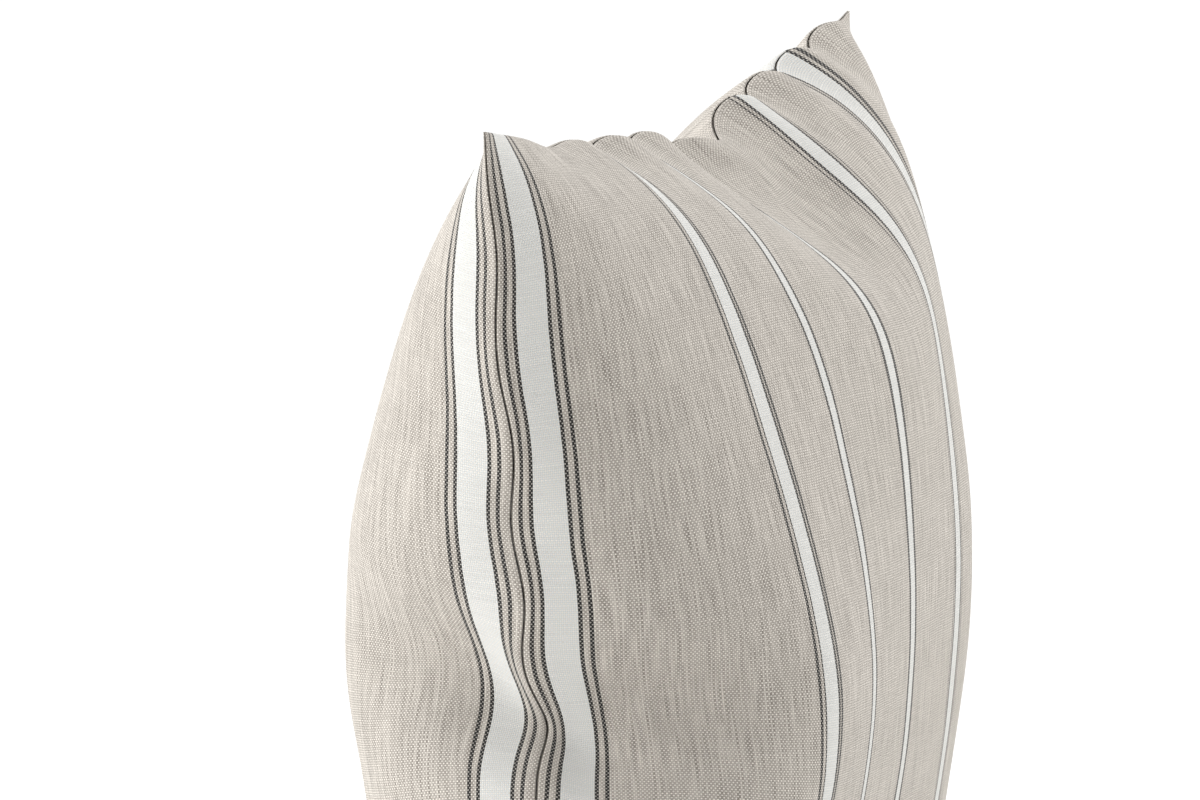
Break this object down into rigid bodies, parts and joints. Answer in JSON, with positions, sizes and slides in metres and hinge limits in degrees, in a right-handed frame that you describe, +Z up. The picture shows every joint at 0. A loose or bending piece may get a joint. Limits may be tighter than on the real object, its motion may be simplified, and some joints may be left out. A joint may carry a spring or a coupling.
{
  "type": "throw pillow",
  "caption": "Square knife-edge throw pillow with a striped woven cover, a zipper in its bottom seam and a separate fibre-filled insert.",
  "frame": {"origin": "on the floor below the middle of the standing pillow", "axes": "+Z up the standing pillow, +X along its seams' width, -Y out of its front panel"},
  "size_m": [0.492, 0.1922, 0.482],
  "materials": {
    "striped_linen": "plain-woven linen and cotton, greige with white and charcoal warp stripes",
    "insert_cotton": "plain-woven cotton cambric, white",
    "insert_fibre": "loose polyester fibre",
    "sewing_thread": "spun polyester thread",
    "zipper_tape": "woven polyester tape",
    "zipper_coil": "nylon monofilament",
    "zipper_metal": "nickel-plated zinc alloy"
  },
  "bodies": {
    "pillow": {"cover_front_panel": "striped_linen", "cover_back_panel": "striped_linen", "seam_thread_left": "sewing_thread", "seam_thread_right": "sewing_thread", "seam_thread_top": "sewing_thread", "seam_thread_bottom_left": "sewing_thread", "seam_thread_bottom_right": "sewing_thread", "insert_front_panel": "insert_cotton", "insert_back_panel": "insert_cotton", "insert_seam_thread": "sewing_thread", "insert_fill": "insert_fibre", "zipper_tape_front": "zipper_tape", "zipper_tape_back": "zipper_tape", "zipper_coil_front": "zipper_coil", "zipper_coil_back": "zipper_coil", "zipper_top_stop_front": "zipper_metal", "zipper_top_stop_back": "zipper_metal", "zipper_bottom_stop": "zipper_metal"},
    "slider": {"zipper_slider": "zipper_metal"},
    "pull_tab": {"zipper_pull_tab": "zipper_metal"}
  },
  "joints": [
    {"name": "zipper_slide", "type": "slide", "parent": "pillow", "child": "slider", "axis": [-1, 0, 0], "range_m": [0, 0.345]},
    {"name": "pull_tab_swing", "type": "hinge", "parent": "slider", "child": "pull_tab", "pos_m": [0.1725, 0, 0.02235], "axis": [0, 1, 0], "range_deg": [-85, 85]}
  ]
}
